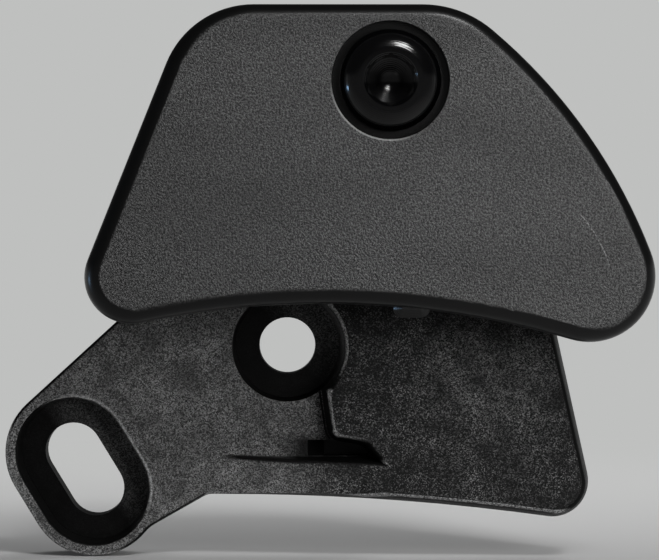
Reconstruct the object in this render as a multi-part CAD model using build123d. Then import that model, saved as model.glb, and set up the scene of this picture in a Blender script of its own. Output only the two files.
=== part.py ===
from build123d import *
import math
import os

os.makedirs("parts", exist_ok=True)

# Upper chain guide of a bicycle with one chainring. A moulded backplate bolts to the frame by a pivot
# hole and a slot, and a moulded cover is held over it by one bolt, so that the chain runs between them.
# X points forwards, Z up, and the chain side faces -Y. The origin is on the axis of the pivot hole, in
# the face that lies against the frame. Heights are measured from that face towards the chain side.
# Sizes are in millimetres and degrees.

# Mount on the frame, for two M5 bolts
pivot_hole_d = 5.2
bolt_pitch = 22.0
slot_bearing = 211.4
slot_width = 5.2
slot_travel = 4.0
head_seat_d = 9.6
seat_floor = 3.4
seat_draft = 5.0
seat_edge = 0.45
slot_edge = 0.2

# Arm of the backplate, which carries the pivot hole and the slot
arm_height = 6.5
boss_wall = 1.3
boss_foot_bearing = -35.0
boss_blend = 3.0
shoulder_x = -13.5
shoulder_z = 4.3
arm_front = 9.0
arm_top = 9.5
arm_corner = 3.0
arm_edge_round = 0.4
foot_z = -13.58
foot_heel_x = -7.3
heel_blend = 1.5

# Guide wall, raised above the arm on the chain side
step_rise = 3.1
wall_lap = 0.3
wall_draft = 10.0
wall_setback = 1.2
wall_front_x = 28.67
wall_front_z = -16.35
wall_front_lean = 12.5
wall_front_round = 3.3
wall_edge_chamfer = 0.4
step_top_x = 3.0
step_top_z = -3.6
step_low_x = 3.75
step_low_z = -8.6
step_low_round = 1.4
step_corner_x = 6.8
step_corner_z = -9.1
step_corner_round = 0.6
step_end_x = 7.6
ramp_start_x = -6.0
strip_top_z = -10.05
crease_width = 0.2
crease_depth = 0.6
crease_end_bearing = -28.0
pocket_start_x = 1.9
pocket_lead = 1.5
pocket_depth = 2.5

# Stiffening on the back of the guide wall
rim_width = 1.6
rim_depth = 2.2
rib_width = 1.6
rib_root = 8.0
rib_reach = 36.0
rib_bearings = (-22.0, 18.0, 46.0, 118.0)

# Hollow in the back of the arm
core_length = 7.0
core_width = 8.6
core_depth = 3.4
core_round = 1.5

# Channel that the chain runs through, and the bridge that keeps it open
channel_width = 9.0
bridge_boss_d = 10.4
roof_wall = 2.4
roof_rear_reach = 13.0
roof_front_reach = 9.0
roof_blend = 2.0

# Cover on the chain side
cover_thickness = 3.2
cover_top_z = 30.5
cover_top_rear_x = -8.5
cover_top_front_x = 15.2
cover_heel_x = -20.5
cover_heel_z = 0.5
cover_nose_x = 34.9
cover_nose_z = -2.6
cover_nose_bow = 48.3
cover_arch = 77.5
cover_rear_round = 8.3
cover_front_round = 9.6
cover_nose_round = 5.8
cover_heel_round = 4.1
cover_rim_round = 1.5
cover_lead_in = 0.8
gate_x = 11.0
gate_width = 3.2
gate_drop = 0.85
gate_thickness = 1.4
gate_bevel = 0.7
fence_wall = 1.4
fence_height = 2.0
fence_clearance = 0.15

# Bolt that holds the cover, M5 with a button head, and its insert
cage_bolt_x = 9.1
cage_bolt_z = 23.8
bolt_d = 5.0
bolt_length = 10.0
bolt_tip_chamfer = 0.6
head_d = 9.0
head_height = 2.6
head_rim = 0.6
head_flat_d = 5.8
head_dome = 3.0
head_recess = 1.6
head_clearance = 0.7
shank_clearance = 0.25
socket_across = 4.0
socket_depth = 1.9
socket_mouth_d = 4.75
socket_point_angle = 118.0
insert_d = 7.0
insert_length = 7.5
insert_groove_d = 6.2
insert_groove_width = 1.5
insert_chamfer = 0.3
thread_clearance = 0.05
tip_clearance = 1.0

# Heights that follow from the sizes above
wall_face = arm_height + step_rise
wall_back = arm_height - wall_lap
cover_inner = wall_face + channel_width
cover_outer = cover_inner + cover_thickness
head_seat = cover_outer - head_recess
bolt_tip = head_seat - bolt_length
seat_r = head_seat_d / 2
boss_r = seat_r + boss_wall
seat_flare = (wall_face - seat_floor) * math.tan(math.radians(seat_draft))
pivot = (0.0, 0.0)
cage_bolt = (cage_bolt_x, cage_bolt_z)
step_top = (step_top_x, step_top_z)
step_low = (step_low_x, step_low_z)
step_corner = (step_corner_x, step_corner_z)
step_end = (step_end_x, strip_top_z)
beyond = cover_nose_x - cover_heel_x + bolt_pitch  # longer than the part, for what passes right through


def level(height):
    """Plane at a height above the frame face, with its normal towards the chain side."""
    return Plane.XZ.offset(height)


def bearing(start, distance, angle):
    """Point at a distance and direction from another, in the plane of the frame face."""
    turn = math.radians(angle)
    return (start[0] + distance * math.cos(turn), start[1] + distance * math.sin(turn))


slot_centre = bearing(pivot, bolt_pitch, slot_bearing)
slot_turn = slot_bearing + 90.0
slot_low = bearing(slot_centre, slot_travel / 2, slot_turn)
slot_high = bearing(slot_centre, -slot_travel / 2, slot_turn)


def slot_shape(radius):
    """Round-ended slot of the given end radius about the middle of the mount slot."""
    ends = Pos(*slot_centre) * Rot(0, 0, slot_turn)
    return ends * SlotCenterToCenter(slot_travel, 2 * radius)


def touch_point(centre, radius, target):
    """Point where the line from a target grazes a circle, on the circle's left as seen from it."""
    reach_x = target[0] - centre[0]
    reach_z = target[1] - centre[1]
    swing = math.degrees(math.acos(radius / math.hypot(reach_x, reach_z)))
    return bearing(centre, radius, math.degrees(math.atan2(reach_z, reach_x)) + swing)


def rounded(shape, corners):
    """Round the corner nearest to each point of a flat shape by that point's radius."""
    for point, radius in corners:
        nearest = shape.vertices().sort_by_distance((point[0], point[1], 0))[0]
        shape = fillet(nearest, radius)
    return shape


def drafted(shape, height, angle):
    """Prism on a flat shape, with sides that lean inwards by an angle as it rises."""
    prism = extrude(shape, height)
    sides = [face for face in prism.faces() if abs(face.normal_at().Z) < 0.5]
    return draft(sides, Plane.XY, angle)


def cover_outline():
    """Cover seen from the chain side: leaning rear edge, level top, bowed nose, arched foot."""
    heel = (cover_heel_x, cover_heel_z)
    rear = (cover_top_rear_x, cover_top_z)
    front = (cover_top_front_x, cover_top_z)
    nose = (cover_nose_x, cover_nose_z)
    edges = [
        Line(heel, rear),
        Line(rear, front),
        RadiusArc(front, nose, cover_nose_bow),
        RadiusArc(nose, heel, -cover_arch),
    ]
    corners = [
        (rear, cover_rear_round),
        (front, cover_front_round),
        (nose, cover_nose_round),
        (heel, cover_heel_round),
    ]
    return rounded(make_face(edges), corners)


def arch_z(x):
    """Height of the cover's arched foot above the pivot."""
    span_x = cover_nose_x - cover_heel_x
    span_z = cover_nose_z - cover_heel_z
    half = math.hypot(span_x, span_z) / 2
    depth = math.sqrt(cover_arch**2 - half**2) / (2 * half)
    middle_x = (cover_nose_x + cover_heel_x) / 2 + span_z * depth
    middle_z = (cover_nose_z + cover_heel_z) / 2 - span_x * depth
    return middle_z + math.sqrt(cover_arch**2 - (x - middle_x) ** 2)


def front_line_x(z):
    """Where the front edge of the guide wall stands at a height above the pivot."""
    return wall_front_x - (z - wall_front_z) * math.tan(math.radians(wall_front_lean))


def arm_outline():
    """Arm seen from the chain side: slot boss, edge up to the shoulder, and block under the wall."""
    shoulder = (shoulder_x, shoulder_z)
    heel = (foot_heel_x, foot_z)
    block_top = (arm_front, arm_top)
    block_foot = (arm_front, foot_z)
    boss_foot = bearing(slot_low, boss_r, boss_foot_bearing)
    grazed = touch_point(slot_high, boss_r, shoulder)
    points = [grazed, shoulder, block_top, block_foot, heel, boss_foot, slot_low, slot_high]
    web = make_face(Polyline(*points, close=True))
    corners = [
        (shoulder, arm_corner),
        (block_top, arm_corner),
        (heel, heel_blend),
        (boss_foot, boss_blend),
    ]
    return rounded(web + slot_shape(boss_r), corners)


def lower_wall_outline():
    """Part of the guide wall that shows below the cover, with the strip along its bowed foot."""
    above = cover_top_z / 2
    strip_foot = (ramp_start_x, foot_z)
    front_foot = (wall_front_x, wall_front_z)
    edges = [
        Polyline(
            (front_line_x(above), above),
            (step_top_x, above),
            step_top,
            step_low,
            step_corner,
            step_end,
            (ramp_start_x, strip_top_z),
            strip_foot,
        ),
        TangentArc(strip_foot, front_foot, tangent=(1, 0)),
        Line(front_foot, (front_line_x(above), above)),
    ]
    corners = [
        (step_low, step_low_round),
        (step_corner, step_corner_round),
        (front_foot, wall_front_round),
    ]
    return rounded(make_face(edges), corners)


def upper_wall_outline():
    """Part of the guide wall behind the cover, set back from the cover's edge."""
    behind_front_line = make_face(
        Polyline(
            (front_line_x(beyond), beyond),
            (front_line_x(-beyond), -beyond),
            (-beyond, -beyond),
            (-beyond, beyond),
            close=True,
        )
    )
    return offset(cover_outline(), -wall_setback) & behind_front_line


def wall_outline():
    """Whole raised area of the backplate, seen from the chain side."""
    return upper_wall_outline() + lower_wall_outline()


def bridge_outline():
    """Bridge seen from the chain side: boss round the bolt and a roof along the top edge."""
    inset = wall_setback + (wall_face - wall_back) * math.tan(math.radians(wall_draft))
    outer = offset(cover_outline(), -inset)
    inner = offset(cover_outline(), -inset - roof_wall)
    roof_length = roof_rear_reach + roof_front_reach
    roof_middle = cage_bolt_x + (roof_front_reach - roof_rear_reach) / 2
    window = Pos(roof_middle, cage_bolt_z) * Rectangle(roof_length, beyond, align=(Align.CENTER, Align.MIN))
    boss = Pos(*cage_bolt) * Circle(bridge_boss_d / 2)
    shape = ((outer - inner) & window) + (boss & outer)
    return offset(offset(shape, roof_blend), -roof_blend)


def guide_wall():
    """Raised wall with drafted sides, and a strip along its foot that ramps down to the arm."""
    block = drafted(wall_outline(), wall_face - wall_back, wall_draft)
    wall = level(wall_back) * chamfer(block.faces().sort_by(Axis.Z)[-1].edges(), wall_edge_chamfer)
    ramp_end_x = step_end_x + step_rise * math.tan(math.radians(wall_draft))
    above_ramp = make_face(
        Polyline(
            (ramp_start_x, -arm_height),
            (ramp_end_x, -wall_face),
            (ramp_end_x, -beyond),
            (-beyond, -beyond),
            (-beyond, -arm_height),
            close=True,
        )
    )
    return wall - extrude(Plane.XY.offset(strip_top_z) * above_ramp, -beyond)


def back_ribs():
    """Rim round the back of the guide wall, and ribs that fan out from the pivot and run out to nothing."""
    area = wall_outline()
    rim = extrude(level(wall_back) * (area - offset(area, -rim_width)), -rim_depth)
    bar = Rectangle(rib_reach, rib_width, align=(Align.MIN, Align.CENTER))
    fan = Sketch() + [Rot(0, 0, angle) * bar for angle in rib_bearings]
    ribs = extrude(level(wall_back) * (fan & area), -wall_back)
    slope = Cone(rib_root, rib_reach, wall_back, align=(Align.CENTER, Align.CENTER, Align.MIN))
    return rim + (ribs & level(0) * slope)


def mount_cuts():
    """Pivot hole and slot, each with a drafted recess that sinks the bolt head."""
    recess = wall_face - seat_floor
    widest = seat_r + seat_flare
    deep_end = (Align.CENTER, Align.CENTER, Align.MIN)
    top_end = (Align.CENTER, Align.CENTER, Align.MAX)
    hole = extrude(Circle(pivot_hole_d / 2), seat_floor)
    seat = Pos(0, 0, seat_floor) * Cone(seat_r, widest, recess, align=deep_end)
    edge = Pos(0, 0, wall_face) * Cone(seat_r, widest + seat_edge, seat_flare + seat_edge, align=top_end)
    slot = extrude(slot_shape(slot_width / 2), seat_floor)
    slot_seat = Pos(0, 0, seat_floor) * drafted(slot_shape(seat_r), recess, -seat_draft)
    edge_start = arm_height - slot_edge
    edge_r = seat_r + (edge_start - seat_floor) * math.tan(math.radians(seat_draft))
    slot_rim = Pos(0, 0, edge_start) * drafted(slot_shape(edge_r), slot_edge, -45)
    return level(0) * (hole + seat + edge + slot + slot_seat + slot_rim)


def arm_cores():
    """Pair of hollows in the back of the arm, between its two bolt holes."""
    cell_width = (core_width - rib_width) / 2
    aside = (cell_width + rib_width) / 2
    middle = Rot(0, 0, slot_bearing) * Pos(bolt_pitch / 2, 0)
    cell = RectangleRounded(core_length, cell_width, core_round)
    cells = Sketch() + [middle * Pos(0, side * aside) * cell for side in (-1, 1)]
    return extrude(level(0) * cells, core_depth)


def pocket_cut():
    """Pocket under the corner of the guide wall, with a floor that slopes down from its rear end."""
    low_start = (pocket_start_x, strip_top_z)
    high_start = (pocket_start_x, step_low_z)
    mouth = make_face(Polyline(low_start, high_start, step_low, step_corner, step_end, close=True))
    floor = pocket_depth - arm_height
    section = make_face(
        Polyline(
            (pocket_start_x, -arm_height),
            (step_end_x, -arm_height),
            (step_end_x, floor),
            (pocket_start_x + pocket_lead, floor),
            close=True,
        )
    )
    prism = extrude(level(arm_height) * (mouth - wall_outline()), -pocket_depth)
    return prism & extrude(Plane.XY.offset(step_end[1]) * section, beyond)


def crease_cut():
    """Crease along the foot of the step, and on round the recess of the pivot hole."""
    area = wall_outline()
    reach = Pos(*step_top) * Rectangle(
        2 * (step_low_x - step_top_x + crease_width),
        step_top_z - step_low_z,
        align=(Align.CENTER, Align.MAX),
    )
    foot = (offset(area, crease_width) - area) & reach
    edge = bearing(pivot, beyond, crease_end_bearing)
    sector = make_face(Polyline(pivot, edge, (step_top_x, -beyond), step_top, close=True))
    ring = (Circle(seat_r + seat_flare + crease_depth) - Circle(seat_r)) & sector
    along_ring = extrude(level(arm_height) * ring, crease_width)
    return along_ring + extrude(level(arm_height) * foot, -crease_depth)


def backplate():
    """Inner half of the guide, one moulding."""
    block = extrude(arm_outline(), arm_height)
    arm = level(0) * fillet(block.faces().sort_by(Axis.Z)[-1].edges(), arm_edge_round)
    bridge = extrude(level(wall_back) * bridge_outline(), cover_inner - wall_back)
    body = arm + guide_wall() + back_ribs() + bridge
    body -= mount_cuts()
    body -= arm_cores()
    body -= pocket_cut()
    body -= crease_cut()
    insert_seat = extrude(Circle(insert_d / 2), -insert_length)
    bolt_way = extrude(Circle(bolt_d / 2 + shank_clearance), bolt_tip - tip_clearance - cover_inner)
    return body - level(cover_inner) * Pos(*cage_bolt) * (insert_seat + bolt_way)


def outer_cage():
    """Cover on the chain side, with a rounded rim, a recess for the bolt and a fence round the bridge."""
    plate = extrude(level(cover_inner) * cover_outline(), cover_thickness)
    plate = fillet(plate.faces().sort_by(Axis.Y)[0].edges(), cover_rim_round)
    plate = chamfer(plate.faces().sort_by(Axis.Y)[-1].outer_wire().edges(), cover_lead_in)
    bridge = bridge_outline()
    below_bolt = Pos(*cage_bolt) * Rectangle(beyond, beyond, align=(Align.CENTER, Align.MAX))
    fence = offset(bridge, fence_clearance + fence_wall) - offset(bridge, fence_clearance)
    plate += extrude(level(cover_inner) * (fence & below_bolt), -fence_height)
    gate = extrude(Pos(gate_x, arch_z(gate_x)) * SlotOverall(gate_width, 2 * gate_drop), gate_thickness)
    gate = chamfer(gate.faces().sort_by(Axis.Z)[-1].edges(), gate_bevel)
    plate += level(cover_inner + cover_lead_in) * gate
    way = extrude(Circle(bolt_d / 2 + shank_clearance), -cover_thickness)
    recess = extrude(Circle(head_d / 2 + head_clearance), head_recess)
    return plate - level(head_seat) * Pos(*cage_bolt) * (way + recess)


def cage_bolt_solid():
    """Button-head bolt with a hexagon socket that ends in a drilled point."""
    shank_r = bolt_d / 2
    head_r = head_d / 2
    flat_r = head_flat_d / 2
    socket_r = socket_across / 2
    edges = [
        Polyline(
            (0, head_height),
            (0, -bolt_length),
            (shank_r - bolt_tip_chamfer, -bolt_length),
            (shank_r, bolt_tip_chamfer - bolt_length),
            (shank_r, 0),
            (head_r, 0),
            (head_r, head_rim),
        ),
        RadiusArc((head_r, head_rim), (flat_r, head_height), -head_dome),
        Line((flat_r, head_height), (0, head_height)),
    ]
    turned = revolve(Plane.XZ * make_face(edges), Axis.Z)
    floor = head_height - socket_depth
    point_depth = socket_r / math.tan(math.radians(socket_point_angle / 2))
    mouth_depth = socket_mouth_d / 2 - socket_r
    hexagon = RegularPolygon(socket_r, 6, major_radius=False)
    socket = extrude(Plane.XY.offset(floor) * hexagon, socket_depth)
    top_end = (Align.CENTER, Align.CENTER, Align.MAX)
    socket += Pos(0, 0, floor) * Cone(0, socket_r, point_depth, align=top_end)
    socket += Pos(0, 0, head_height) * Cone(socket_r, socket_mouth_d / 2, mouth_depth, align=top_end)
    return level(head_seat) * Pos(*cage_bolt) * (turned - socket)


def threaded_insert():
    """Brass insert, grooved round its middle so that the nylon holds it."""
    outer_r = insert_d / 2
    bore_r = bolt_d / 2 + thread_clearance
    groove_r = insert_groove_d / 2
    groove_top = (insert_groove_width - insert_length) / 2
    groove_low = groove_top - insert_groove_width
    section = Polyline(
        (bore_r + insert_chamfer, 0),
        (outer_r, 0),
        (outer_r, groove_top),
        (groove_r, groove_top),
        (groove_r, groove_low),
        (outer_r, groove_low),
        (outer_r, insert_chamfer - insert_length),
        (outer_r - insert_chamfer, -insert_length),
        (bore_r, -insert_length),
        (bore_r, -insert_chamfer),
        close=True,
    )
    return level(cover_inner) * Pos(*cage_bolt) * revolve(Plane.XZ * make_face(section), Axis.Z)


nodes = {
    "backplate": backplate(),
    "outer_cage": outer_cage(),
    "cage_bolt": cage_bolt_solid(),
    "threaded_insert": threaded_insert(),
}
for name, solid in nodes.items():
    export_step(solid, f"parts/{name}.step")
    print(name, "volume", round(solid.volume, 1), "valid", solid.is_valid)
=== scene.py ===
# %% [markdown]
# # A bicycle chain guide, dressed for a studio picture
# An upper chain guide is two black nylon mouldings with a slot between them for the chain. The backplate
# bolts to the frame by a round hole and a slot, and the cover is held over it by one button-head bolt.
# The solids already have their true size and place, so this lesson adds what solids lack: soft edges,
# moulded grain, turning marks, a thread, and the light to see them by.

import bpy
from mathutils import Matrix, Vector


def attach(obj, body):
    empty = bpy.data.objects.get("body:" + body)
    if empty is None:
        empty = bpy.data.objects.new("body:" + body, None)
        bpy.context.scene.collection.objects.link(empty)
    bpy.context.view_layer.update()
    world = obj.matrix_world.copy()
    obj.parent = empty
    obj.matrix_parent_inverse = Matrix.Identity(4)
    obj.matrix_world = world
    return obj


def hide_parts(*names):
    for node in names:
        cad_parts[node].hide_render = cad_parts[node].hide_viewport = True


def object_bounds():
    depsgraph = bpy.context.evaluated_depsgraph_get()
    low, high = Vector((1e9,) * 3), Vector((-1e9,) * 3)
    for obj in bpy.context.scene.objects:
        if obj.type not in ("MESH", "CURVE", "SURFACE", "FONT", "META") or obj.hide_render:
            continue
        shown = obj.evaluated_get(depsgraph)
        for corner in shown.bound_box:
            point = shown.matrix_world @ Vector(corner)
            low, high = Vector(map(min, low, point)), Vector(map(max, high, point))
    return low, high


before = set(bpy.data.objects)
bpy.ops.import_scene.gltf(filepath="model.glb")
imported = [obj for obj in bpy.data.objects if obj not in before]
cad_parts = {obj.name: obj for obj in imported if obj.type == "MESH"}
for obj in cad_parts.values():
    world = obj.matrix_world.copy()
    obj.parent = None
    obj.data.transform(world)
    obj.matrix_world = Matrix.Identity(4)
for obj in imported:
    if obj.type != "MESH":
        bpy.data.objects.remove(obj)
cad_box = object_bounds()
print("nodes:", sorted(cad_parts))
print("size in mm:", [round(1000 * side, 2) for side in cad_box[1] - cad_box[0]])

# %% Modules and the unit
import math

import bmesh
import bpy
from mathutils import Vector

MM = 0.001
BODY = "root"
scene = bpy.context.scene
scene.view_settings.view_transform = "Standard"
print("view transform:", scene.view_settings.view_transform)

# %% [markdown]
# ## The camera
# The picture looks square onto the cover from about 30 cm away, so the arm behind it looks a little
# smaller than it is. The lens length follows from the picture's width in pixels and the focal length in
# the same pixels. Aiming the camera at the middle of the picture needs no lens shift.

# %% Camera at the photograph's place
IMAGE_WIDTH = 659
FOCAL_PIXELS = 3432
SENSOR_WIDTH = 36.0
EYE = Vector((1.177, -321.8, 10.24)) * MM
TARGET = Vector((3.755, -21.8, 6.307)) * MM
NEAREST_SEEN = 10 * MM

camera = bpy.data.objects.new("camera", bpy.data.cameras.new("camera"))
camera.data.sensor_width = SENSOR_WIDTH
camera.data.lens = FOCAL_PIXELS / IMAGE_WIDTH * SENSOR_WIDTH
camera.data.clip_start = NEAREST_SEEN
camera.location = EYE
camera.rotation_euler = (TARGET - EYE).to_track_quat("-Z", "Y").to_euler()
scene.collection.objects.link(camera)
scene.camera = camera
print("lens in mm:", round(camera.data.lens, 1))

# %% [markdown]
# ## Colour and nodes
# Colours are written as sRGB hex values, which are what an eye or a colour picker gives. Shaders work in
# linear light, so one function turns the first into the second. A second small function adds a node, sets
# it up and links it, so that a material reads from top to bottom like a recipe. An input goes by its name.
# Some nodes, such as Math, have several inputs of one name, and those go by number.

# %% Small helpers for materials
def linear(hex_colour):
    """Linear RGBA of an sRGB hex colour."""
    channels = [int(hex_colour[start:start + 2], 16) / 255 for start in (1, 3, 5)]
    return [c / 12.92 if c <= 0.04045 else ((c + 0.055) / 1.055) ** 2.4 for c in channels] + [1.0]


def add(tree, kind, inputs=None, **settings):
    """Add a node: each input is a plain value, an output to link, or a node to link by its first output."""
    node = tree.nodes.new(kind)
    for name, value in settings.items():
        setattr(node, name, value)
    for name, value in (inputs or {}).items():
        if isinstance(value, bpy.types.Node):
            value = next(socket for socket in value.outputs if socket.enabled)
        if isinstance(value, bpy.types.NodeSocket):
            tree.links.new(value, node.inputs[name])
        else:
            node.inputs[name].default_value = value
    return node


def new_material(name):
    """Empty material, with the tree that its nodes go in."""
    material = bpy.data.materials.new(name)
    material.use_nodes = True
    material.node_tree.nodes.clear()
    return material, material.node_tree


def per_mm(size):
    """Texture scale whose features are about this many millimetres apart."""
    return 1 / (size * MM)


print("middle grey in linear light:", round(linear("#808080")[0], 3))

# %% [markdown]
# ## Fine-grained nylon
# The cover is injection-moulded nylon from a finely etched tool. Each grain is about 0.2 mm, two pixels
# here, so it shows as a faint sparkle and not as a pattern. Black nylon gives the eye two things: a dark
# charcoal, and over it a broad, soft gloss from the facets of the grain. The rounded rim was polished in
# the tool, so it has no grain and mirrors the room. Along the left side and the foot, which turn away from
# the lamps, the dark band is painted wider: that is painted shade. Where a face looks decides what it gets,
# so the mask for the grain comes from the surface normal.
# The normal's Y is -1 on a face that looks straight out, and 0 on a side.

# %% Areas of the cover
COVER_FACE_Y = -21.8 * MM
GRAIN_GONE, GRAIN_FULL = COVER_FACE_Y + 1.0 * MM, COVER_FACE_Y + 0.6 * MM
BOLT_AXIS = Vector((9.1, 0.0, 23.8)) * MM
NEAR_RECESS, CLEAR_OF_RECESS = 5.6 * MM, 6.0 * MM
NO_DEPTH = (1.0, 0.0, 1.0)
AWAY_FROM_LIGHT = (-0.9, 0.0, -0.43)

cover_nylon, tree = new_material("black_nylon_fine_grain")
place = add(tree, "ShaderNodeTexCoord").outputs["Object"]
normal = add(tree, "ShaderNodeNewGeometry").outputs["Normal"]
depth = add(tree, "ShaderNodeSeparateXYZ", {"Vector": place}).outputs["Y"]
facing = add(tree, "ShaderNodeSeparateXYZ", {"Vector": normal}).outputs["Y"]
front = add(tree, "ShaderNodeMapRange", {"Value": facing, "From Min": -0.90, "From Max": -0.99})
# Painted shade: where the normal leans to the left or down, away from the lamps, the face stays dark.
lean = add(tree, "ShaderNodeVectorMath", {0: normal, 1: AWAY_FROM_LIGHT}, operation="DOT_PRODUCT")
lit_side = add(tree, "ShaderNodeMapRange", {"Value": lean, "From Min": 0.11, "From Max": 0.02})
# Surfaces more than a millimetre behind the face get no grain and stay black, as a smooth skin and partly
# as painted shade, since they lie out of the light.
outermost = add(
    tree, "ShaderNodeMapRange",
    {"Value": depth, "From Min": GRAIN_GONE, "From Max": GRAIN_FULL},
)
for mask in (lit_side, outermost):
    front = add(tree, "ShaderNodeMath", {0: front, 1: mask}, operation="MULTIPLY")
seen_flat = add(tree, "ShaderNodeVectorMath", {0: place, 1: NO_DEPTH}, operation="MULTIPLY")
from_bolt = add(tree, "ShaderNodeVectorMath", {0: seen_flat, 1: BOLT_AXIS}, operation="DISTANCE")
clear = add(
    tree, "ShaderNodeMapRange",
    {"Value": from_bolt, "From Min": NEAR_RECESS, "From Max": CLEAR_OF_RECESS},
)
sides = add(
    tree, "ShaderNodeMapRange",
    {"Value": facing, "From Min": -0.35, "From Max": -0.1, "To Max": 0.6},
)
sides = add(tree, "ShaderNodeMath", {0: sides, 1: clear}, operation="MULTIPLY")
skin = add(tree, "ShaderNodeMath", {0: front, 1: sides}, operation="MAXIMUM")
print("cover:", cover_nylon.name)

# %% [markdown]
# ## Grain of the cover
# The grain is noise, whose bright and dark spots become two greys. Nylon that flowed into the tool also
# leaves slow, faint clouds, longer than they are high, so a second noise is stretched along the cover.

# %% Grain and clouds
GRAIN = 0.18
CLOUD = 9.0
STRETCH = (0.55, 1.0, 1.5)

grain = add(
    tree, "ShaderNodeTexNoise",
    {"Vector": place, "Scale": per_mm(GRAIN), "Detail": 2.0, "Roughness": 0.75},
)
stretched = add(tree, "ShaderNodeVectorMath", {0: place, 1: STRETCH}, operation="MULTIPLY")
cloud = add(tree, "ShaderNodeTexNoise", {"Vector": stretched, "Scale": per_mm(CLOUD), "Detail": 1.0})
wave = add(
    tree, "ShaderNodeMapRange",
    {"Value": cloud, "From Min": 0.35, "From Max": 0.65, "To Min": 0.82, "To Max": 1.0},
)
tone = add(tree, "ShaderNodeMapRange", {"Value": grain, "From Min": 0.40, "From Max": 0.68})
shown = tone
for mask in (skin, wave):
    shown = add(tree, "ShaderNodeMath", {0: shown, 1: mask}, operation="MULTIPLY")
moulded = add(
    tree, "ShaderNodeMix",
    {"Factor": shown, "A": linear("#080808"), "B": linear("#545454")},
    data_type="RGBA",
)
print("grain and clouds in mm:", GRAIN, CLOUD)

# %% [markdown]
# ## A scratch and a painted highlight on the cover
# A thin curved scratch runs near the cover's front end. The lip of the bolt's recess has a painted
# highlight on its lower side, where a rounded lip would catch the light. Each is part of a circle, so it is
# drawn by
# distance: a point is on the mark when it is as far from a centre as the circle is wide, and on the right
# side of it.

# %% Scratch, and painted highlight on the mouth of the cover
SCRATCH_CENTRE = Vector((17.2, 0.0, 4.24)) * MM
SCRATCH_R = 11.52 * MM
SCRATCH_EDGE, SCRATCH_CORE = 0.07 * MM, 0.02 * MM
SCRATCH_SIDE = (0.857, 0.0, 0.515)
MOUTH_HIGHLIGHT_R = 5.2 * MM
MOUTH_HIGHLIGHT_EDGE, MOUTH_HIGHLIGHT_CORE = MOUTH_HIGHLIGHT_R + 0.17 * MM, MOUTH_HIGHLIGHT_R + 0.09 * MM
MOUTH_HIGHLIGHT_SIDE = (-0.5, 0.0, -0.87)

reach = add(tree, "ShaderNodeVectorMath", {0: seen_flat, 1: SCRATCH_CENTRE}, operation="DISTANCE")
off_arc = add(tree, "ShaderNodeMath", {0: reach, 1: SCRATCH_R}, operation="SUBTRACT")
off_arc = add(tree, "ShaderNodeMath", {0: off_arc}, operation="ABSOLUTE")
arc = add(
    tree, "ShaderNodeMapRange",
    {"Value": off_arc, "From Min": SCRATCH_EDGE, "From Max": SCRATCH_CORE},
)
scratch = add(tree, "ShaderNodeMath", {0: arc, 1: tone}, operation="MULTIPLY")
# Painted highlight: a pale line round the mouth of the bolt's recess, kept to its lower side below.
mouth = add(
    tree, "ShaderNodeMapRange",
    {"Value": from_bolt, "From Min": MOUTH_HIGHLIGHT_EDGE, "From Max": MOUTH_HIGHLIGHT_CORE},
)
marks = []
for mark, centre, side, first, full in (
    (scratch, SCRATCH_CENTRE, SCRATCH_SIDE, 0.965 * SCRATCH_R, 0.985 * SCRATCH_R),
    (mouth, BOLT_AXIS, MOUTH_HIGHLIGHT_SIDE, 0.55 * MOUTH_HIGHLIGHT_R, 0.9 * MOUTH_HIGHLIGHT_R),
):
    away = add(tree, "ShaderNodeVectorMath", {0: seen_flat, 1: centre}, operation="SUBTRACT")
    lean = add(tree, "ShaderNodeVectorMath", {0: away, 1: side}, operation="DOT_PRODUCT")
    span = add(tree, "ShaderNodeMapRange", {"Value": lean, "From Min": first, "From Max": full})
    for mask in (span, front):
        mark = add(tree, "ShaderNodeMath", {0: mark, 1: mask}, operation="MULTIPLY")
    marks.append(mark)
scratch_and_highlight = add(tree, "ShaderNodeMath", {0: marks[0], 1: marks[1]}, operation="MAXIMUM")
# Pale grey of the scratch and of the painted highlight.
colour = add(
    tree, "ShaderNodeMix",
    {"Factor": scratch_and_highlight, "A": moulded, "B": linear("#828282")},
    data_type="RGBA",
)
print("marks on the cover:", len(marks))

# %% Shader of the cover
RIM_FRONT, RIM_SIDE = COVER_FACE_Y + 1.4 * MM, COVER_FACE_Y + 1.6 * MM
GRAIN_DEPTH = 0.10 * MM

haze = add(
    tree, "ShaderNodeMapRange",
    {"Value": cloud, "From Min": 0.35, "From Max": 0.65, "To Min": 0.54, "To Max": 0.44},
)
rim = add(
    tree, "ShaderNodeMapRange",
    {"Value": depth, "From Min": RIM_FRONT, "From Max": RIM_SIDE, "To Min": 0.28, "To Max": 0.2},
)
gloss = add(tree, "ShaderNodeMix", {"Factor": skin, "A": rim, "B": haze})
relief = add(tree, "ShaderNodeMath", {0: grain, 1: skin}, operation="MULTIPLY")
bump = add(tree, "ShaderNodeBump", {"Height": relief, "Strength": 1.0, "Distance": GRAIN_DEPTH})
shader = add(
    tree, "ShaderNodeBsdfPrincipled",
    {"Base Color": colour, "Roughness": gloss, "Normal": bump, "IOR": 1.53, "Specular IOR Level": 0.36},
)
add(tree, "ShaderNodeOutputMaterial", {"Surface": shader})
print("nodes of the cover's finish:", len(tree.nodes))

# %% [markdown]
# ## Glass-filled nylon
# The backplate carries load, so its nylon is filled with short glass fibres. They lie just under the
# moulded skin and show as a grey speckle on black. The raised guide wall is darker than the arm, and the
# recesses, which polished pins shape in the tool, are smooth and nearly black. The first step is to find
# out which of these a point belongs to, from its height above the frame, the way its surface looks, and
# how far it is from the slot, the pivot hole and the wall's step.

# %% Places on the backplate
SLOT_CENTRE = Vector((-18.778, 0.0, -11.462)) * MM
SLOT_AXIS = Vector((-0.521, 0.0, 0.854))
SLOT_HALF = 2.0 * MM
STEP_MIDDLE = Vector((5.2, 0.0, -6.0)) * MM

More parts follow.
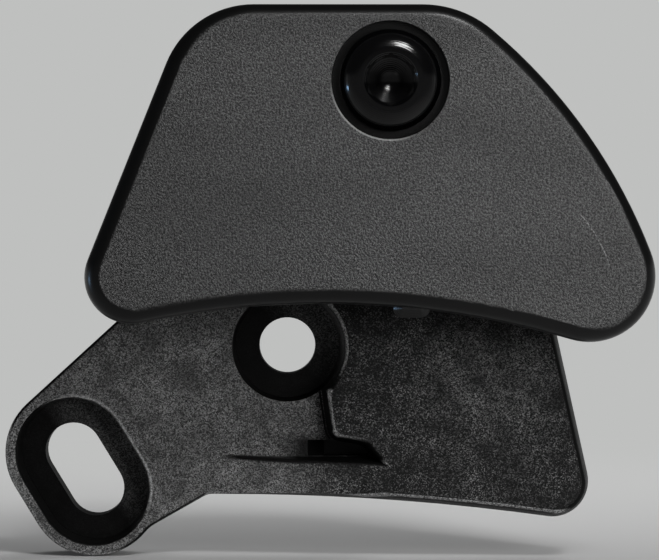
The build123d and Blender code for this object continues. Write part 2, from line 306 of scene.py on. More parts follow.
backplate_nylon, tree = new_material("black_nylon_glass_filled")
place = add(tree, "ShaderNodeTexCoord").outputs["Object"]
normal = add(tree, "ShaderNodeNewGeometry").outputs["Normal"]
along, height, across = add(tree, "ShaderNodeSeparateXYZ", {"Vector": place}).outputs
facing = add(tree, "ShaderNodeSeparateXYZ", {"Vector": normal}).outputs["Y"]
seen_flat = add(tree, "ShaderNodeVectorMath", {0: place, 1: NO_DEPTH}, operation="MULTIPLY")
away = add(tree, "ShaderNodeVectorMath", {0: seen_flat, 1: SLOT_CENTRE}, operation="SUBTRACT")
along_slot = add(tree, "ShaderNodeVectorMath", {0: away, 1: SLOT_AXIS}, operation="DOT_PRODUCT")
held = add(tree, "ShaderNodeClamp", {"Value": along_slot, "Min": -SLOT_HALF, "Max": SLOT_HALF})
nearest = add(tree, "ShaderNodeVectorMath", {0: SLOT_AXIS, "Scale": held}, operation="SCALE")
from_slot = add(tree, "ShaderNodeVectorMath", {0: away, 1: nearest}, operation="DISTANCE")
from_pivot = add(tree, "ShaderNodeVectorMath", {0: seen_flat}, operation="LENGTH")
from_step = add(tree, "ShaderNodeVectorMath", {0: seen_flat, 1: STEP_MIDDLE}, operation="DISTANCE")
print("backplate:", backplate_nylon.name)

# %% Areas of the backplate
ARM_FACE_Y = -6.5 * MM
SEATS_TOP, FACE_START = ARM_FACE_Y + 0.45 * MM, ARM_FACE_Y + 0.40 * MM
WALL_START, WALL_FULL = ARM_FACE_Y - 1.5 * MM, ARM_FACE_Y - 2.9 * MM
SLOT_SMOOTH_R, PIVOT_SMOOTH_R, STEP_SMOOTH_R = 5.4 * MM, 6.0 * MM, 6.0 * MM
SKIN_FADE = 0.3 * MM

above_seats = add(
    tree, "ShaderNodeMapRange",
    {"Value": height, "From Min": SEATS_TOP, "From Max": FACE_START},
)
open_face = add(tree, "ShaderNodeMapRange", {"Value": facing, "From Min": -0.85, "From Max": -0.96})
front = add(tree, "ShaderNodeMath", {0: above_seats, 1: open_face}, operation="MULTIPLY")
back = add(tree, "ShaderNodeMapRange", {"Value": facing, "From Min": 0.5, "From Max": 0.9})
sides = add(
    tree, "ShaderNodeMapRange",
    {"Value": facing, "From Min": -0.35, "From Max": -0.1, "To Max": 0.6},
)
for distance, smooth_r in (
    (from_slot, SLOT_SMOOTH_R),
    (from_pivot, PIVOT_SMOOTH_R),
    (from_step, STEP_SMOOTH_R),
):
    outside = add(
        tree, "ShaderNodeMapRange",
        {"Value": distance, "From Min": smooth_r, "From Max": smooth_r + SKIN_FADE},
    )
    sides = add(tree, "ShaderNodeMath", {0: sides, 1: outside}, operation="MULTIPLY")
skin = front
for area in (back, sides):
    skin = add(tree, "ShaderNodeMath", {0: skin, 1: area}, operation="MAXIMUM")
wall = add(tree, "ShaderNodeMapRange", {"Value": height, "From Min": WALL_START, "From Max": WALL_FULL})
print("arm's face at y in mm:", round(ARM_FACE_Y / MM, 2))

# %% [markdown]
# ## Speckle
# A Voronoi texture gives each tiny cell a random grey. Raised to a power, most cells go dark and a few stay
# bright, like fibre ends: the higher the power, the rarer they are. They are commonest on the arm and in a
# pale patch on the wall. Flow marks in the moulding make the speckle thicker in some patches, so a slow
# noise thins it out elsewhere. A real fibre is 0.01 mm thick, too fine to show, so the cells are drawn
# 0.09 mm wide.

# %% Fibre ends
FLECK = 0.09
PALE_PATCH = Vector((18.9, -9.6, -2.5)) * MM
PATCH_R, PATCH_END = 3.0 * MM, 14.0 * MM
ARM_RARITY, PATCH_RARITY, WALL_RARITY = 1.6, 2.2, 5.6

flecks = add(tree, "ShaderNodeTexVoronoi", {"Vector": place, "Scale": per_mm(FLECK)})
speck = add(tree, "ShaderNodeSeparateColor", {"Color": flecks.outputs["Color"]})
reach = add(tree, "ShaderNodeVectorMath", {0: place, 1: PALE_PATCH}, operation="DISTANCE")
wall_rarity = add(
    tree, "ShaderNodeMapRange",
    {
        "Value": reach, "From Min": PATCH_R, "From Max": PATCH_END,
        "To Min": PATCH_RARITY, "To Max": WALL_RARITY,
    },
)
rarity = add(tree, "ShaderNodeMix", {"Factor": wall, "A": ARM_RARITY, "B": wall_rarity})
sharp = add(tree, "ShaderNodeMath", {0: speck, 1: rarity}, operation="POWER")
print("fleck in mm:", FLECK)

# %% Flow marks and colours of the speckle
MOTTLE = 2.6

mottle = add(
    tree, "ShaderNodeTexNoise",
    {"Vector": place, "Scale": per_mm(MOTTLE), "Detail": 5.0, "Roughness": 0.65},
)
dull = add(tree, "ShaderNodeMapRange", {"Value": wall, "To Min": 0.4, "To Max": 0.15})
patch = add(
    tree, "ShaderNodeMapRange",
    {"Value": mottle, "From Min": 0.36, "From Max": 0.64, "To Min": dull, "To Max": 1.0},
)
speckle = add(tree, "ShaderNodeMath", {0: sharp, 1: patch}, operation="MULTIPLY")
ground, fleck = (
    add(tree, "ShaderNodeMix", {"Factor": wall, "A": linear(arm), "B": linear(dark)}, data_type="RGBA")
    for arm, dark in (("#242424", "#0c0c0c"), ("#969696", "#7e7e7e"))
)
speckled = add(tree, "ShaderNodeMix", {"Factor": speckle, "A": ground, "B": fleck}, data_type="RGBA")
print("flow marks in mm:", MOTTLE)

# %% [markdown]
# ## Dark creases
# Under the guide wall's corner is a deep pocket, and a crease runs from it along the top of the foot strip.
# Hardly any light comes back out of such places, so they are drawn blacker than their depth alone would
# make them. Their places are known, so ranges along X and Z draw them. The crease sinks a little on its
# way, so the height of its middle is a range too.

# %% Crease along the foot strip
CREASE_HIGH = Vector((-6.0, 0.0, -10.08)) * MM
CREASE_LOW = Vector((0.2, 0.0, -10.45)) * MM
CREASE_EDGE, CREASE_CORE = 0.32 * MM, 0.12 * MM
CREASE_ENDS = ((-6.4, -4.6), (7.6, 7.0))

line_z = add(
    tree, "ShaderNodeMapRange",
    {
        "Value": along, "From Min": CREASE_HIGH.x, "From Max": CREASE_LOW.x,
        "To Min": CREASE_HIGH.z, "To Max": CREASE_LOW.z,
    },
)
off_line = add(tree, "ShaderNodeMath", {0: across, 1: line_z}, operation="SUBTRACT")
off_line = add(tree, "ShaderNodeMath", {0: off_line}, operation="ABSOLUTE")
line = add(
    tree, "ShaderNodeMapRange",
    {"Value": off_line, "From Min": CREASE_EDGE, "From Max": CREASE_CORE},
)
for none_at, full_at in CREASE_ENDS:
    end = add(
        tree, "ShaderNodeMapRange",
        {"Value": along, "From Min": none_at * MM, "From Max": full_at * MM},
    )
    line = add(tree, "ShaderNodeMath", {0: line, 1: end}, operation="MULTIPLY")
print("crease fades out at x in mm:", [none_at for none_at, full_at in CREASE_ENDS])

# %% Pocket under the wall's corner
WALL_FACE_Y = -9.6 * MM
POCKET_LIP, POCKET_DARK = WALL_FACE_Y + 0.1 * MM, WALL_FACE_Y + 0.5 * MM
# Painted shadow: the pocket's darkness runs out over the arm's face to the left of the pocket.
POCKET_LEAD_IN, POCKET_FULL = -2.6 * MM, 1.9 * MM
POCKET_SIDES = ((along, 10.0, 9.0), (across, -10.6, -10.2), (across, -7.7, -8.7))
BACK_HALF, CHAIN_HALF = -3.0 * MM, -3.4 * MM

pocket_reach = add(
    tree, "ShaderNodeMapRange",
    {"Value": along, "From Min": POCKET_LEAD_IN, "From Max": POCKET_FULL},
    interpolation_type="SMOOTHSTEP",
)
for run, none_at, full_at in POCKET_SIDES:
    end = add(
        tree, "ShaderNodeMapRange",
        {"Value": run, "From Min": none_at * MM, "From Max": full_at * MM},
    )
    pocket_reach = add(tree, "ShaderNodeMath", {0: pocket_reach, 1: end}, operation="MULTIPLY")
below_wall = add(
    tree, "ShaderNodeMapRange",
    {"Value": height, "From Min": POCKET_LIP, "From Max": POCKET_DARK},
)
pocket = add(tree, "ShaderNodeMath", {0: pocket_reach, 1: below_wall}, operation="MULTIPLY")
shaded = add(tree, "ShaderNodeMath", {0: line, 1: pocket}, operation="MAXIMUM")
chain_side = add(
    tree, "ShaderNodeMapRange",
    {"Value": height, "From Min": BACK_HALF, "From Max": CHAIN_HALF},
)
shaded = add(tree, "ShaderNodeMath", {0: shaded, 1: chain_side}, operation="MULTIPLY")
lit = add(tree, "ShaderNodeMath", {0: 1.0, 1: shaded}, operation="SUBTRACT")
print("wall's face at y in mm:", round(WALL_FACE_Y / MM, 2))

# %% [markdown]
# ## Recess floors
# The floors of both recesses are nearly black. Towards the upper right they are a little paler, where light
# from the lower left would fall past the rim: that is painted light. How far a point lies in that direction
# from the recess's middle sets how much speckle it shows.

# %% Floors of the recesses
RIGHT_AND_UP = (0.8, 0.0, 0.6)
HIDDEN_SPECKLE, HALF_LIT_SPECKLE = 0.02, 0.7
SLOT_FLOOR_R, PIVOT_FLOOR_R, FLOOR_FADE = 5.3 * MM, 5.8 * MM, 0.2 * MM
MOST_LIT = 4.6 * MM

slot_lean, pivot_lean = (
    add(tree, "ShaderNodeVectorMath", {0: offset, 1: RIGHT_AND_UP}, operation="DOT_PRODUCT")
    for offset in (away, seen_flat)
)
in_light = add(tree, "ShaderNodeMath", {0: skin, 1: HIDDEN_SPECKLE}, operation="MAXIMUM")
for distance, floor_r, lean in (
    (from_slot, SLOT_FLOOR_R, slot_lean),
    (from_pivot, PIVOT_FLOOR_R, pivot_lean),
):
    inside = add(
        tree, "ShaderNodeMapRange",
        {"Value": distance, "From Min": floor_r, "From Max": floor_r - FLOOR_FADE},
    )
    # Painted light on the upper right part of each floor.
    half_lit = add(
        tree, "ShaderNodeMapRange",
        {"Value": lean, "From Min": 0.0, "From Max": MOST_LIT, "To Max": HALF_LIT_SPECKLE},
    )
    half_lit = add(tree, "ShaderNodeMath", {0: half_lit, 1: inside}, operation="MULTIPLY")
    in_light = add(tree, "ShaderNodeMath", {0: in_light, 1: half_lit}, operation="MAXIMUM")
lit = add(tree, "ShaderNodeMath", {0: lit, 1: in_light}, operation="MULTIPLY")
surface = add(
    tree, "ShaderNodeMix",
    {"Factor": lit, "A": linear("#020202"), "B": speckled},
    data_type="RGBA",
)
print("speckle on the rubbed floors:", HALF_LIT_SPECKLE)

# %% [markdown]
# ## Painted highlights on the edges
# Edges that turn to the left and down are painted pale, as highlights of light from the lower left. An edge
# is where the surface turns from facing out to facing sideways, so again the normal tells where it is. The
# upper right brink of the slot's recess gets a painted highlight too. Noise breaks the pale lines up, as
# the grain of the surface would.

# %% Painted highlights on the edges of the backplate
FIBRES = 0.17
LEFT_DOWN_EDGE = (-0.7, 0.0, -0.71)

fibres = add(
    tree, "ShaderNodeTexNoise",
    {"Vector": place, "Scale": per_mm(FIBRES), "Detail": 2.0, "Roughness": 0.8},
)
broken = add(
    tree, "ShaderNodeMapRange",
    {"Value": fibres, "From Min": 0.42, "From Max": 0.62, "To Min": 0.15, "To Max": 1.0},
)
rising = add(tree, "ShaderNodeMapRange", {"Value": facing, "From Min": -0.99, "From Max": -0.90})
falling = add(tree, "ShaderNodeMapRange", {"Value": facing, "From Min": -0.30, "From Max": -0.50})
# Painted highlight only on edges that turn left and down, towards the lamps there.
lean = add(tree, "ShaderNodeVectorMath", {0: normal, 1: LEFT_DOWN_EDGE}, operation="DOT_PRODUCT")
towards = add(tree, "ShaderNodeMapRange", {"Value": lean, "From Min": 0.18, "From Max": 0.36})
clear = add(tree, "ShaderNodeMath", {0: 1.0, 1: pocket_reach}, operation="SUBTRACT")
edge = rising
for mask in (falling, towards, above_seats, broken, clear):
    edge = add(tree, "ShaderNodeMath", {0: edge, 1: mask}, operation="MULTIPLY")
print("fibres in mm:", FIBRES)

# %% Painted highlight on the brink of the slot's recess
SEAT_R = 5.22 * MM
BRINK_EDGE, BRINK_CORE = SEAT_R + 0.20 * MM, SEAT_R + 0.06 * MM
BRINK_LIT_START, BRINK_LIT_FULL = 2.2 * MM, 3.8 * MM

brink = add(
    tree, "ShaderNodeMapRange",
    {"Value": from_slot, "From Min": BRINK_EDGE, "From Max": BRINK_CORE},
)
upper_right = add(
    tree, "ShaderNodeMapRange",
    {"Value": slot_lean, "From Min": BRINK_LIT_START, "From Max": BRINK_LIT_FULL},
)
for mask in (upper_right, front, broken):
    brink = add(tree, "ShaderNodeMath", {0: brink, 1: mask}, operation="MULTIPLY")
painted_highlights = add(tree, "ShaderNodeMath", {0: edge, 1: brink}, operation="MAXIMUM")
# Pale grey of the painted highlights.
colour = add(
    tree, "ShaderNodeMix",
    {"Factor": painted_highlights, "A": surface, "B": linear("#b0b0b0")},
    data_type="RGBA",
)
print("brink from the slot's middle line in mm:", round(SEAT_R / MM, 2))

# %% Shader of the backplate
FIBRE_DEPTH = 0.07 * MM

square_on = add(tree, "ShaderNodeMath", {0: facing}, operation="ABSOLUTE")
smooth = add(
    tree, "ShaderNodeMapRange",
    {"Value": square_on, "From Min": 0.3, "From Max": 0.6, "To Min": 0.65, "To Max": 0.28},
)
bare = add(tree, "ShaderNodeMath", {0: skin, 1: clear}, operation="MULTIPLY")
bare = add(tree, "ShaderNodeMath", {0: bare, 1: rising}, operation="MAXIMUM")
gloss = add(tree, "ShaderNodeMix", {"Factor": bare, "A": smooth, "B": 0.6})
relief = add(tree, "ShaderNodeMath", {0: fibres, 1: skin}, operation="MULTIPLY")
bump = add(tree, "ShaderNodeBump", {"Height": relief, "Strength": 1.0, "Distance": FIBRE_DEPTH})
shader = add(
    tree, "ShaderNodeBsdfPrincipled",
    {"Base Color": colour, "Roughness": gloss, "Normal": bump, "IOR": 1.53, "Specular IOR Level": 0.12},
)
add(tree, "ShaderNodeOutputMaterial", {"Surface": shader})
print("nodes of the backplate's finish:", len(tree.nodes))

# %% [markdown]
# ## Black oxide and brass
# The bolt is turned steel with a black oxide coat: dark, glossy, and still ringed by the marks of the
# turning tool. The insert is turned brass. The marks are really about 0.05 mm apart, which is less than a
# pixel, so they are drawn three times as coarse. Both patterns are rings round the bolt's own axis. A wave
# texture at scale one repeats every tau / 20 units, so its scale follows from the size of a mark.

# %% Black oxide of the bolt
TURNING_MARK = 0.16
MARK_DEPTH = 0.02 * MM
WAVE_LENGTH = math.tau / 20


def turning_marks(tree):
    """Rings round the bolt's axis, as a turning tool leaves them."""
    place = add(tree, "ShaderNodeTexCoord").outputs["Object"]
    centred = add(tree, "ShaderNodeMapping", {"Vector": place, "Location": -BOLT_AXIS})
    rings = add(
        tree, "ShaderNodeTexWave",
        {"Vector": centred, "Scale": per_mm(TURNING_MARK) * WAVE_LENGTH, "Distortion": 0.4},
        wave_type="RINGS", rings_direction="Y",
    )
    return rings.outputs["Fac"]


black_steel, tree = new_material("black_oxide_turned_steel")
rings = turning_marks(tree)
gloss = add(tree, "ShaderNodeMapRange", {"Value": rings, "To Min": 0.12, "To Max": 0.18})
bump = add(tree, "ShaderNodeBump", {"Height": rings, "Strength": 0.2, "Distance": MARK_DEPTH})
shader = add(
    tree, "ShaderNodeBsdfPrincipled",
    {"Base Color": linear("#060607"), "Roughness": gloss, "Normal": bump, "IOR": 1.52},
)
add(tree, "ShaderNodeOutputMaterial", {"Surface": shader})
print("bolt:", black_steel.name)

# %% Brass of the insert
brass, tree = new_material("turned_brass")
rings = turning_marks(tree)
gloss = add(tree, "ShaderNodeMapRange", {"Value": rings, "To Min": 0.22, "To Max": 0.34})
shader = add(
    tree, "ShaderNodeBsdfPrincipled",
    {"Base Color": linear("#c9ab6e"), "Roughness": gloss, "Metallic": 1.0},
)
add(tree, "ShaderNodeOutputMaterial", {"Surface": shader})
print("insert:", brass.name)

# %% [markdown]
# ## Soft-shaded mouldings
# The two mouldings keep their solids' shape. A solid arrives as loose triangles, so a copy is merged, its
# flat areas are joined into single faces, and only edges that really are corners stay sharp. The Weighted
# Normal modifier then lets the flats stay flat, so that each rounded rim runs out smoothly into them.

# %% From a worked mesh to a finished piece
def shaded_piece(work, name, material, corner):
    """Object of a worked mesh, smooth but for the edges that turn by more than a corner's degrees."""
    for face in work.faces:
        face.smooth = True
    for edge in work.edges:
        edge.smooth = edge.calc_face_angle(math.pi) < math.radians(corner)
    mesh = bpy.data.meshes.new(name)
    work.to_mesh(mesh)
    work.free()
    mesh.materials.append(material)
    piece = bpy.data.objects.new(name, mesh)
    scene.collection.objects.link(piece)
    return piece


def finish_piece(piece, node=None):
    """Turn a piece's modifiers into a plain mesh on the body, which may stand for a solid."""
    evaluated = piece.evaluated_get(bpy.context.evaluated_depsgraph_get())
    plain = bpy.data.meshes.new_from_object(evaluated)
    piece.modifiers.clear()
    piece.data = plain
    plain.name = piece.name
    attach(piece, BODY)
    if node:
        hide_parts(node)
    print(piece.name, "faces:", len(plain.polygons))
    return piece


# %% Copies of the mouldings
SAME_POINT = 0.001 * MM
SAME_PLANE = math.radians(0.2)


def moulding(node, name, material, corner):
    """Merged and soft-shaded copy of a solid, which stands for it in the picture."""
    work = bmesh.new()
    work.from_mesh(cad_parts[node].data)
    bmesh.ops.remove_doubles(work, verts=work.verts, dist=SAME_POINT)
    bmesh.ops.dissolve_limit(work, angle_limit=SAME_PLANE, verts=work.verts, edges=work.edges)
    piece = shaded_piece(work, name, material, corner)
    weighted = piece.modifiers.new("weighted", "WEIGHTED_NORMAL")
    weighted.keep_sharp = True
    weighted.weight = 100
    return finish_piece(piece, node)


moulding("outer_cage", "cover", cover_nylon, corner=30.0)
plate = moulding("backplate", "backplate_moulding", backplate_nylon, corner=50.0)

# %% [markdown]
# ## The bolt
# A bolt is turned, so it is made as a lathe would: rings of points round one axis, each ring a radius and a
# height, joined to the next by faces. The hexagon socket is the one part that isn't round. Its rings have a
# radius that changes with the angle, and where its walls meet the round mouth their height changes too.

# %% A lathe
AROUND = 144
SAME_RING_POINT = 1e-5
TURNED_CORNER = 25.0


def lathe(rings):
    """Mesh through rings about the Y axis; a radius or height may be a function of the angle."""
    work = bmesh.new()
    loops = []
    for radius, height in rings:
        loop = []
        for step in range(AROUND):
            angle = math.tau * step / AROUND
            r = radius(angle) if callable(radius) else radius
            h = height(angle) if callable(height) else height
            loop.append(work.verts.new((r * math.cos(angle), -h, r * math.sin(angle))))
        loops.append(loop)
    for inner, outer in zip(loops, loops[1:]):
        for step in range(AROUND):
            after = (step + 1) % AROUND
            work.faces.new((inner[step], inner[after], outer[after], outer[step]))
    bmesh.ops.remove_doubles(work, verts=work.verts, dist=SAME_RING_POINT)
    bmesh.ops.recalc_face_normals(work, faces=work.faces)
    return work


def turned(rings, name, material, seat_y):
    """Lathe the rings, in millimetres, and set them on the bolt's axis with their zero at a height."""
    work = lathe(rings)
    for vertex in work.verts:
        vertex.co = vertex.co * MM + Vector((BOLT_AXIS.x, seat_y * MM, BOLT_AXIS.z))
    return shaded_piece(work, name, material, TURNED_CORNER)


print("points in a ring:", AROUND)

# %% Curves of the bolt's head and socket
HEAD_R, HEAD_RIM, HEAD_HEIGHT = 4.5, 0.6, 2.6
DOME_R, DOME_STEPS = 2.12, 12
FLAT_R, MOUTH_R, SOCKET_R = 2.75, 2.375, 2.0


def hexagon(angle):
    """Distance from the axis to a wall of the socket, in a direction."""
    return SOCKET_R / math.cos((angle + math.pi / 6) % (math.pi / 3) - math.pi / 6)


def socket_mouth(angle):
    """Height at which a wall of the socket meets the chamfer of its round mouth."""
    return HEAD_HEIGHT - (MOUTH_R - hexagon(angle))


def dome():
    """Rings of the head's dome, an arc from the edge of the flat to the top of the rim."""
    start, end = Vector((HEAD_R, HEAD_RIM)), Vector((FLAT_R, HEAD_HEIGHT))
    chord = end - start
    inwards = Vector((-chord.y, chord.x)).normalized()
    centre = (start + end) / 2 + inwards * math.sqrt(DOME_R**2 - (chord.length / 2) ** 2)
    first = math.atan2(start.y - centre.y, start.x - centre.x)
    last = math.atan2(end.y - centre.y, end.x - centre.x)
    turns = [first + (last - first) * step / DOME_STEPS for step in range(DOME_STEPS, -1, -1)]
    return [(centre.x + DOME_R * math.cos(t), centre.y + DOME_R * math.sin(t)) for t in turns]


print("rings of the dome:", len(dome()))

# %% Turn the bolt
HEAD_SEAT_Y = -20.2
HEAD_CHAMFER, SOCKET_DEPTH, POINT_ANGLE = 0.15, 1.9, 118.0
SHANK_R, CORE_R, PLAIN_SHANK, BOLT_LENGTH, TIP_CHAMFER = 2.5, 2.07, 1.0, 10.0, 0.6

floor_height = HEAD_HEIGHT - SOCKET_DEPTH
point = floor_height - SOCKET_R / math.tan(math.radians(POINT_ANGLE / 2))
bolt_rings = [
    (0.0, point),
    (SOCKET_R / 2, (point + floor_height) / 2),
    (SOCKET_R, floor_height),
    (hexagon, floor_height),
    (hexagon, socket_mouth),
    (MOUTH_R, HEAD_HEIGHT),
    *dome(),
    (HEAD_R, HEAD_CHAMFER),
    (HEAD_R - HEAD_CHAMFER, 0.0),
    (SHANK_R, 0.0),
    (SHANK_R, -PLAIN_SHANK),
    (CORE_R, -PLAIN_SHANK - (SHANK_R - CORE_R)),
    (CORE_R, TIP_CHAMFER - BOLT_LENGTH),
    (SHANK_R - TIP_CHAMFER, -BOLT_LENGTH),
    (0.0, -BOLT_LENGTH),
]
bolt = turned(bolt_rings, "button_head_bolt", black_steel, HEAD_SEAT_Y)
finish_piece(bolt, "cage_bolt")

# %% [markdown]
# ## The insert
# Nylon is too soft for a thread that is undone often, so a brass insert is pressed into the bridge. It is
# turned like the bolt, with a groove round its middle that the nylon grips. It is hidden in the picture,
# but it is part of the guide, so it is made with the same care.

# %% Turn the insert
INSERT_TOP_Y = -18.6
INSERT_LENGTH, INSERT_R, BORE_R, INSERT_CHAMFER = 7.5, 3.3, 2.55, 0.3
GROOVE_R, GROOVE_TOP, GROOVE_LOW = 3.1, -3.0, -4.5

insert_rings = [
    (BORE_R + INSERT_CHAMFER, 0.0),
    (INSERT_R, 0.0),
    (INSERT_R, GROOVE_TOP),
    (GROOVE_R, GROOVE_TOP),
    (GROOVE_R, GROOVE_LOW),
    (INSERT_R, GROOVE_LOW),
    (INSERT_R, INSERT_CHAMFER - INSERT_LENGTH),
    (INSERT_R - INSERT_CHAMFER, -INSERT_LENGTH),
    (BORE_R, -INSERT_LENGTH),
    (BORE_R, -INSERT_CHAMFER),
    (BORE_R + INSERT_CHAMFER, 0.0),
]
insert = turned(insert_rings, "knurled_insert", brass, INSERT_TOP_Y)
finish_piece(insert, "threaded_insert")

# %% [markdown]
# ## Thread and knurl
# A thread is one ridge that climbs round a core, by one pitch in each turn. A knurl is one ridge pressed
# again and again round a ring. Both are rules, so Geometry Nodes draws them: a spiral curve swept with a
# diamond, and a diamond bar copied to the points of a circle. Each tree has named inputs, and what it makes
# is turned into a plain mesh, so the piece no longer depends on the tree.

# %% A tree with named inputs, and the piece that it makes
def rule(name, *inputs):
    """Empty geometry tree with number inputs of these names, and the sockets they come out of."""
    tree = bpy.data.node_groups.new(name, "GeometryNodeTree")
    tree.interface.new_socket("Geometry", in_out="OUTPUT", socket_type="NodeSocketGeometry")
    for label in inputs:
        tree.interface.new_socket(label, in_out="INPUT", socket_type="NodeSocketFloat")
    return tree, add(tree, "NodeGroupInput").outputs


def end_rule(tree, shape, place, material):
    """Lay a shape that was drawn upwards along the bolt's axis, at a place on it, and give it a finish."""
    start = add(tree, "ShaderNodeCombineXYZ", {"X": BOLT_AXIS.x, "Y": place, "Z": BOLT_AXIS.z})
    quarter = (-math.pi / 2, 0.0, 0.0)
    laid = add(
        tree, "GeometryNodeTransform",
        {"Geometry": shape, "Translation": start, "Rotation": quarter},
    )
    plain = add(tree, "GeometryNodeRealizeInstances", {"Geometry": laid})
    coated = add(tree, "GeometryNodeSetMaterial", {"Geometry": plain, "Material": material})
    add(tree, "NodeGroupOutput", {"Geometry": coated})


def grow(tree, name, **values):
    """New piece that a geometry tree makes from these values."""
    piece = bpy.data.objects.new(name, bpy.data.meshes.new(name))
    scene.collection.objects.link(piece)
    modifier = piece.modifiers.new(name, "NODES")
    modifier.node_group = tree
    for socket in tree.interface.items_tree:
        if socket.in_out == "INPUT":
            modifier[socket.identifier] = values[socket.name]
    return piece


# %% Thread of the bolt
THREAD_PITCH, THREAD_START, THREAD_LENGTH = 0.8, 1.9, 7.2
POINTS_PER_TURN = 48
DIAMOND_CORNERS = 4

tree, given = rule("screw_thread", "place", "core", "depth", "pitch", "length")
turns = add(tree, "ShaderNodeMath", {0: given["length"], 1: given["pitch"]}, operation="DIVIDE")
spiral = add(
    tree, "GeometryNodeCurveSpiral",
    {
        "Resolution": POINTS_PER_TURN, "Rotations": turns, "Height": given["length"],
        "Start Radius": given["core"], "End Radius": given["core"],
    },
)
upright = add(tree, "GeometryNodeSetCurveNormal", {"Curve": spiral}, mode="Z_UP")
diamond = add(
    tree, "GeometryNodeCurvePrimitiveCircle",
    {"Resolution": DIAMOND_CORNERS, "Radius": given["depth"]},
    mode="RADIUS",
)
ridge = add(
    tree, "GeometryNodeCurveToMesh",
    {"Curve": upright, "Profile Curve": diamond, "Fill Caps": True},
)
end_rule(tree, ridge, given["place"], black_steel)
thread = grow(
    tree, "bolt_thread", place=(HEAD_SEAT_Y + THREAD_START) * MM,
    core=CORE_R * MM, depth=(SHANK_R - CORE_R) * MM, pitch=THREAD_PITCH * MM, length=THREAD_LENGTH * MM,
)
finish_piece(thread)

# %% Knurl of the insert
KNURL_RIDGES, KNURL_RISE = 44, 0.2
BANDS = {"upper": (0.0, GROOVE_TOP), "lower": (GROOVE_LOW, INSERT_CHAMFER - INSERT_LENGTH)}

tree, given = rule("straight_knurl", "place", "ridges", "radius", "rise", "length")
circle = add(tree, "GeometryNodeMeshCircle", {"Vertices": given["ridges"], "Radius": given["radius"]})
bar = add(
    tree, "GeometryNodeMeshCylinder",
    {"Vertices": DIAMOND_CORNERS, "Radius": given["rise"], "Depth": given["length"]},
)
index = add(tree, "GeometryNodeInputIndex")
spacing = add(tree, "ShaderNodeMath", {0: math.tau, 1: given["ridges"]}, operation="DIVIDE")
turn = add(tree, "ShaderNodeMath", {0: index, 1: spacing}, operation="MULTIPLY")
outwards = add(tree, "ShaderNodeCombineXYZ", {"Z": turn})
ring = add(
    tree, "GeometryNodeInstanceOnPoints",
    {"Points": circle, "Instance": bar, "Rotation": outwards},
)
end_rule(tree, ring, given["place"], brass)
for band, (top, low) in BANDS.items():
    knurl = grow(
        tree, f"insert_knurl_{band}", place=(INSERT_TOP_Y - (top + low) / 2) * MM,
        ridges=float(KNURL_RIDGES), radius=INSERT_R * MM, rise=KNURL_RISE * MM, length=(top - low) * MM,
    )
    finish_piece(knurl)

# %% [markdown]
# ## Finishes of the solids
# The pieces above stand for the solids in the picture. The solids stay in the file, so each of them gets
# the finish of its own piece too.

# %% Finishes of the solids
FINISHES = {
    "backplate": backplate_nylon,
    "outer_cage": cover_nylon,
    "cage_bolt": black_steel,
    "threaded_insert": brass,
}
for node, material in FINISHES.items():
    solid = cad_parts[node].data
    solid.materials.clear()
    solid.materials.append(material)
print("finishes on", len(FINISHES), "solids")

# %% [markdown]
# ## Floor and background
# The guide has no foot of its own, so it is shown as held by its mount, with its lowest edge at the floor.
# The floor is a wide sheet of pale, matte paper, which takes soft shadows and mirrors nothing. Far from the
# guide it turns into the colour of the background, so that no horizon shows. A flat black face mirrors what
# stands behind the camera, as a dark window does. So the background is pale behind the guide, where it is
# seen, and grey on the camera's side, where it is mirrored.

# %% One background for the floor and the world
PALE = linear("#bfc0bf")
GREY = linear("#646464")


def backdrop(tree, behind, pale=PALE):
    """Colour of the background: pale behind the guide, grey on the camera's side of it."""
    front = add(
        tree, "ShaderNodeMapRange",
        {"Value": behind, "From Min": 0.35, "From Max": -0.45},
        interpolation_type="SMOOTHSTEP",
    )
    return add(tree, "ShaderNodeMix", {"Factor": front, "A": pale, "B": GREY}, data_type="RGBA")


def seen_or_mirrored(tree):
    """One for a ray from the camera, or one that a surface mirrors or lets through."""
    path = add(tree, "ShaderNodeLightPath").outputs
    seen = path["Is Camera Ray"]
    for ray in ("Is Glossy Ray", "Is Transmission Ray"):
        seen = add(tree, "ShaderNodeMath", {0: seen, 1: path[ray]}, operation="MAXIMUM")
    return seen


print("background in linear light:", round(PALE[0], 3), "to", round(GREY[0], 3))

# %% Floor
FLOOR_HALF = 6.0
FLOOR_GAP = 0.05 * MM
FADED = 0.17
SOFTENED = 0.2

floor_z = cad_box[0].z - FLOOR_GAP
signs = ((-1, -1), (1, -1), (1, 1), (-1, 1))
corners = [(sx * FLOOR_HALF, sy * FLOOR_HALF, floor_z) for sx, sy in signs]
floor_mesh = bpy.data.meshes.new("floor")
floor_mesh.from_pydata(corners, [], [(0, 1, 2, 3)])
floor = bpy.data.objects.new("floor", floor_mesh)
scene.collection.objects.link(floor)

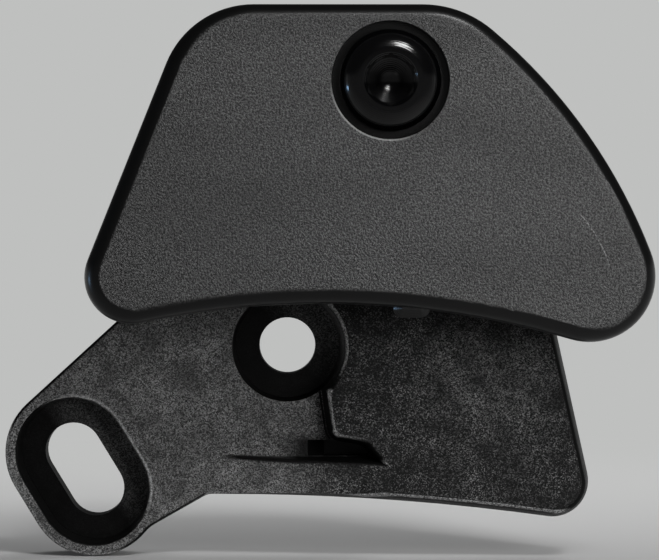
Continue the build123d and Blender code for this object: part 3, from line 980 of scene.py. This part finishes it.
paper, tree = new_material("pale_paper")
place = add(tree, "ShaderNodeTexCoord").outputs["Object"]
depth = add(tree, "ShaderNodeSeparateXYZ", {"Vector": place}).outputs["Y"]
reach = add(tree, "ShaderNodeVectorMath", {0: place}, operation="LENGTH")
softened = add(tree, "ShaderNodeMath", {0: reach, 1: SOFTENED}, operation="ADD")
behind = add(tree, "ShaderNodeMath", {0: depth, 1: softened}, operation="DIVIDE")
far = add(
    tree, "ShaderNodeMapRange",
    {"Value": reach, "From Min": 0.0, "From Max": FADED},
    interpolation_type="SMOOTHSTEP",
)
fade = add(tree, "ShaderNodeMath", {0: far, 1: seen_or_mirrored(tree)}, operation="MULTIPLY")
matte = add(tree, "ShaderNodeBsdfDiffuse", {"Color": backdrop(tree, behind, linear("#e6e6e6"))})
beyond = add(tree, "ShaderNodeEmission", {"Color": backdrop(tree, behind), "Strength": 1.0})
mixed = add(tree, "ShaderNodeMixShader", {0: fade, 1: matte, 2: beyond})
add(tree, "ShaderNodeOutputMaterial", {"Surface": mixed})
floor_mesh.materials.append(paper)
print("floor at z in mm:", round(floor_z / MM, 2))

# %% World
CEILING = linear("#303030")
CEILING_START, CEILING_FULL = 0.075, 0.22
ROOM_LIGHT = linear("#4a4a4a")

world = bpy.data.worlds.new("studio")
world.use_nodes = True
scene.world = world
tree = world.node_tree
tree.nodes.clear()
view = add(tree, "ShaderNodeTexCoord").outputs["Generated"]
direction = add(tree, "ShaderNodeSeparateXYZ", {"Vector": view}).outputs
overhead = add(
    tree, "ShaderNodeMapRange",
    {"Value": direction["Z"], "From Min": CEILING_START, "From Max": CEILING_FULL},
    interpolation_type="SMOOTHSTEP",
)
shown = add(
    tree, "ShaderNodeMix",
    {"Factor": overhead, "A": backdrop(tree, direction["Y"]), "B": CEILING},
    data_type="RGBA",
)
shade = add(
    tree, "ShaderNodeMix",
    {"Factor": seen_or_mirrored(tree), "A": ROOM_LIGHT, "B": shown},
    data_type="RGBA",
)
sky = add(tree, "ShaderNodeBackground", {"Color": shade, "Strength": 1.0})
add(tree, "ShaderNodeOutputWorld", {"Surface": sky})
print("world:", world.name)

# %% [markdown]
# ## Studio light
# Black parts are lit for their edges. The front box, low on the right, lights the faces and draws a line
# down the cover's front rim. The key box, high up, draws the line along its top. The fill box, low on the
# left, reaches in under the cover to the arm. A small cool rim light puts a blue spark on the bolt, and a
# wide box behind lights the back. Fill and back leave no mirror image, which would spoil the dark rims.
# A flag, a black card on a stand, keeps the front box off the bolt, which would mirror it as a second
# bright spot, and another keeps the cool light off the backplate. Together the lamps light a face that
# looks at the camera about as much as plain white light of strength one.

# %% Lamps
def soft_box(
    name, azimuth, elevation, distance, size, watts, colour="#ffffff", mirrored=True, flagged=None,
):
    """Square area lamp that faces the guide, at angles seen from it towards the camera's side."""
    turn, rise = math.radians(azimuth), math.radians(elevation)
    middle = (cad_box[0] + cad_box[1]) / 2
    away = Vector((math.sin(turn) * math.cos(rise), -math.cos(turn) * math.cos(rise), math.sin(rise)))
    lamp = bpy.data.lights.new(name, "AREA")
    lamp.size = size
    lamp.energy = watts
    lamp.color = linear(colour)[:3]
    holder = bpy.data.objects.new(name, lamp)
    holder.location = middle + away * distance
    holder.rotation_euler = (-away).to_track_quat("-Z", "Y").to_euler()
    holder.visible_camera = False
    holder.visible_glossy = mirrored
    scene.collection.objects.link(holder)
    if flagged:
        card = bpy.data.collections.new(name + "_flag")
        card.objects.link(flagged)
        card.collection_objects[0].light_linking.link_state = "EXCLUDE"
        holder.light_linking.receiver_collection = card
    print(name, "watts:", watts)


soft_box("front", azimuth=30, elevation=9, distance=0.15, size=0.06, watts=0.122, flagged=bolt)
soft_box("key", azimuth=20, elevation=44, distance=0.40, size=0.11, watts=0.85)
soft_box("fill", azimuth=-32, elevation=-12, distance=0.35, size=0.10, watts=0.60, mirrored=False)
soft_box(
    "rim", azimuth=-86, elevation=-4, distance=0.20, size=0.016, watts=0.022,
    colour="#a8d4ff", flagged=plate,
)
soft_box("back", azimuth=160, elevation=35, distance=0.45, size=0.25, watts=0.9, mirrored=False)
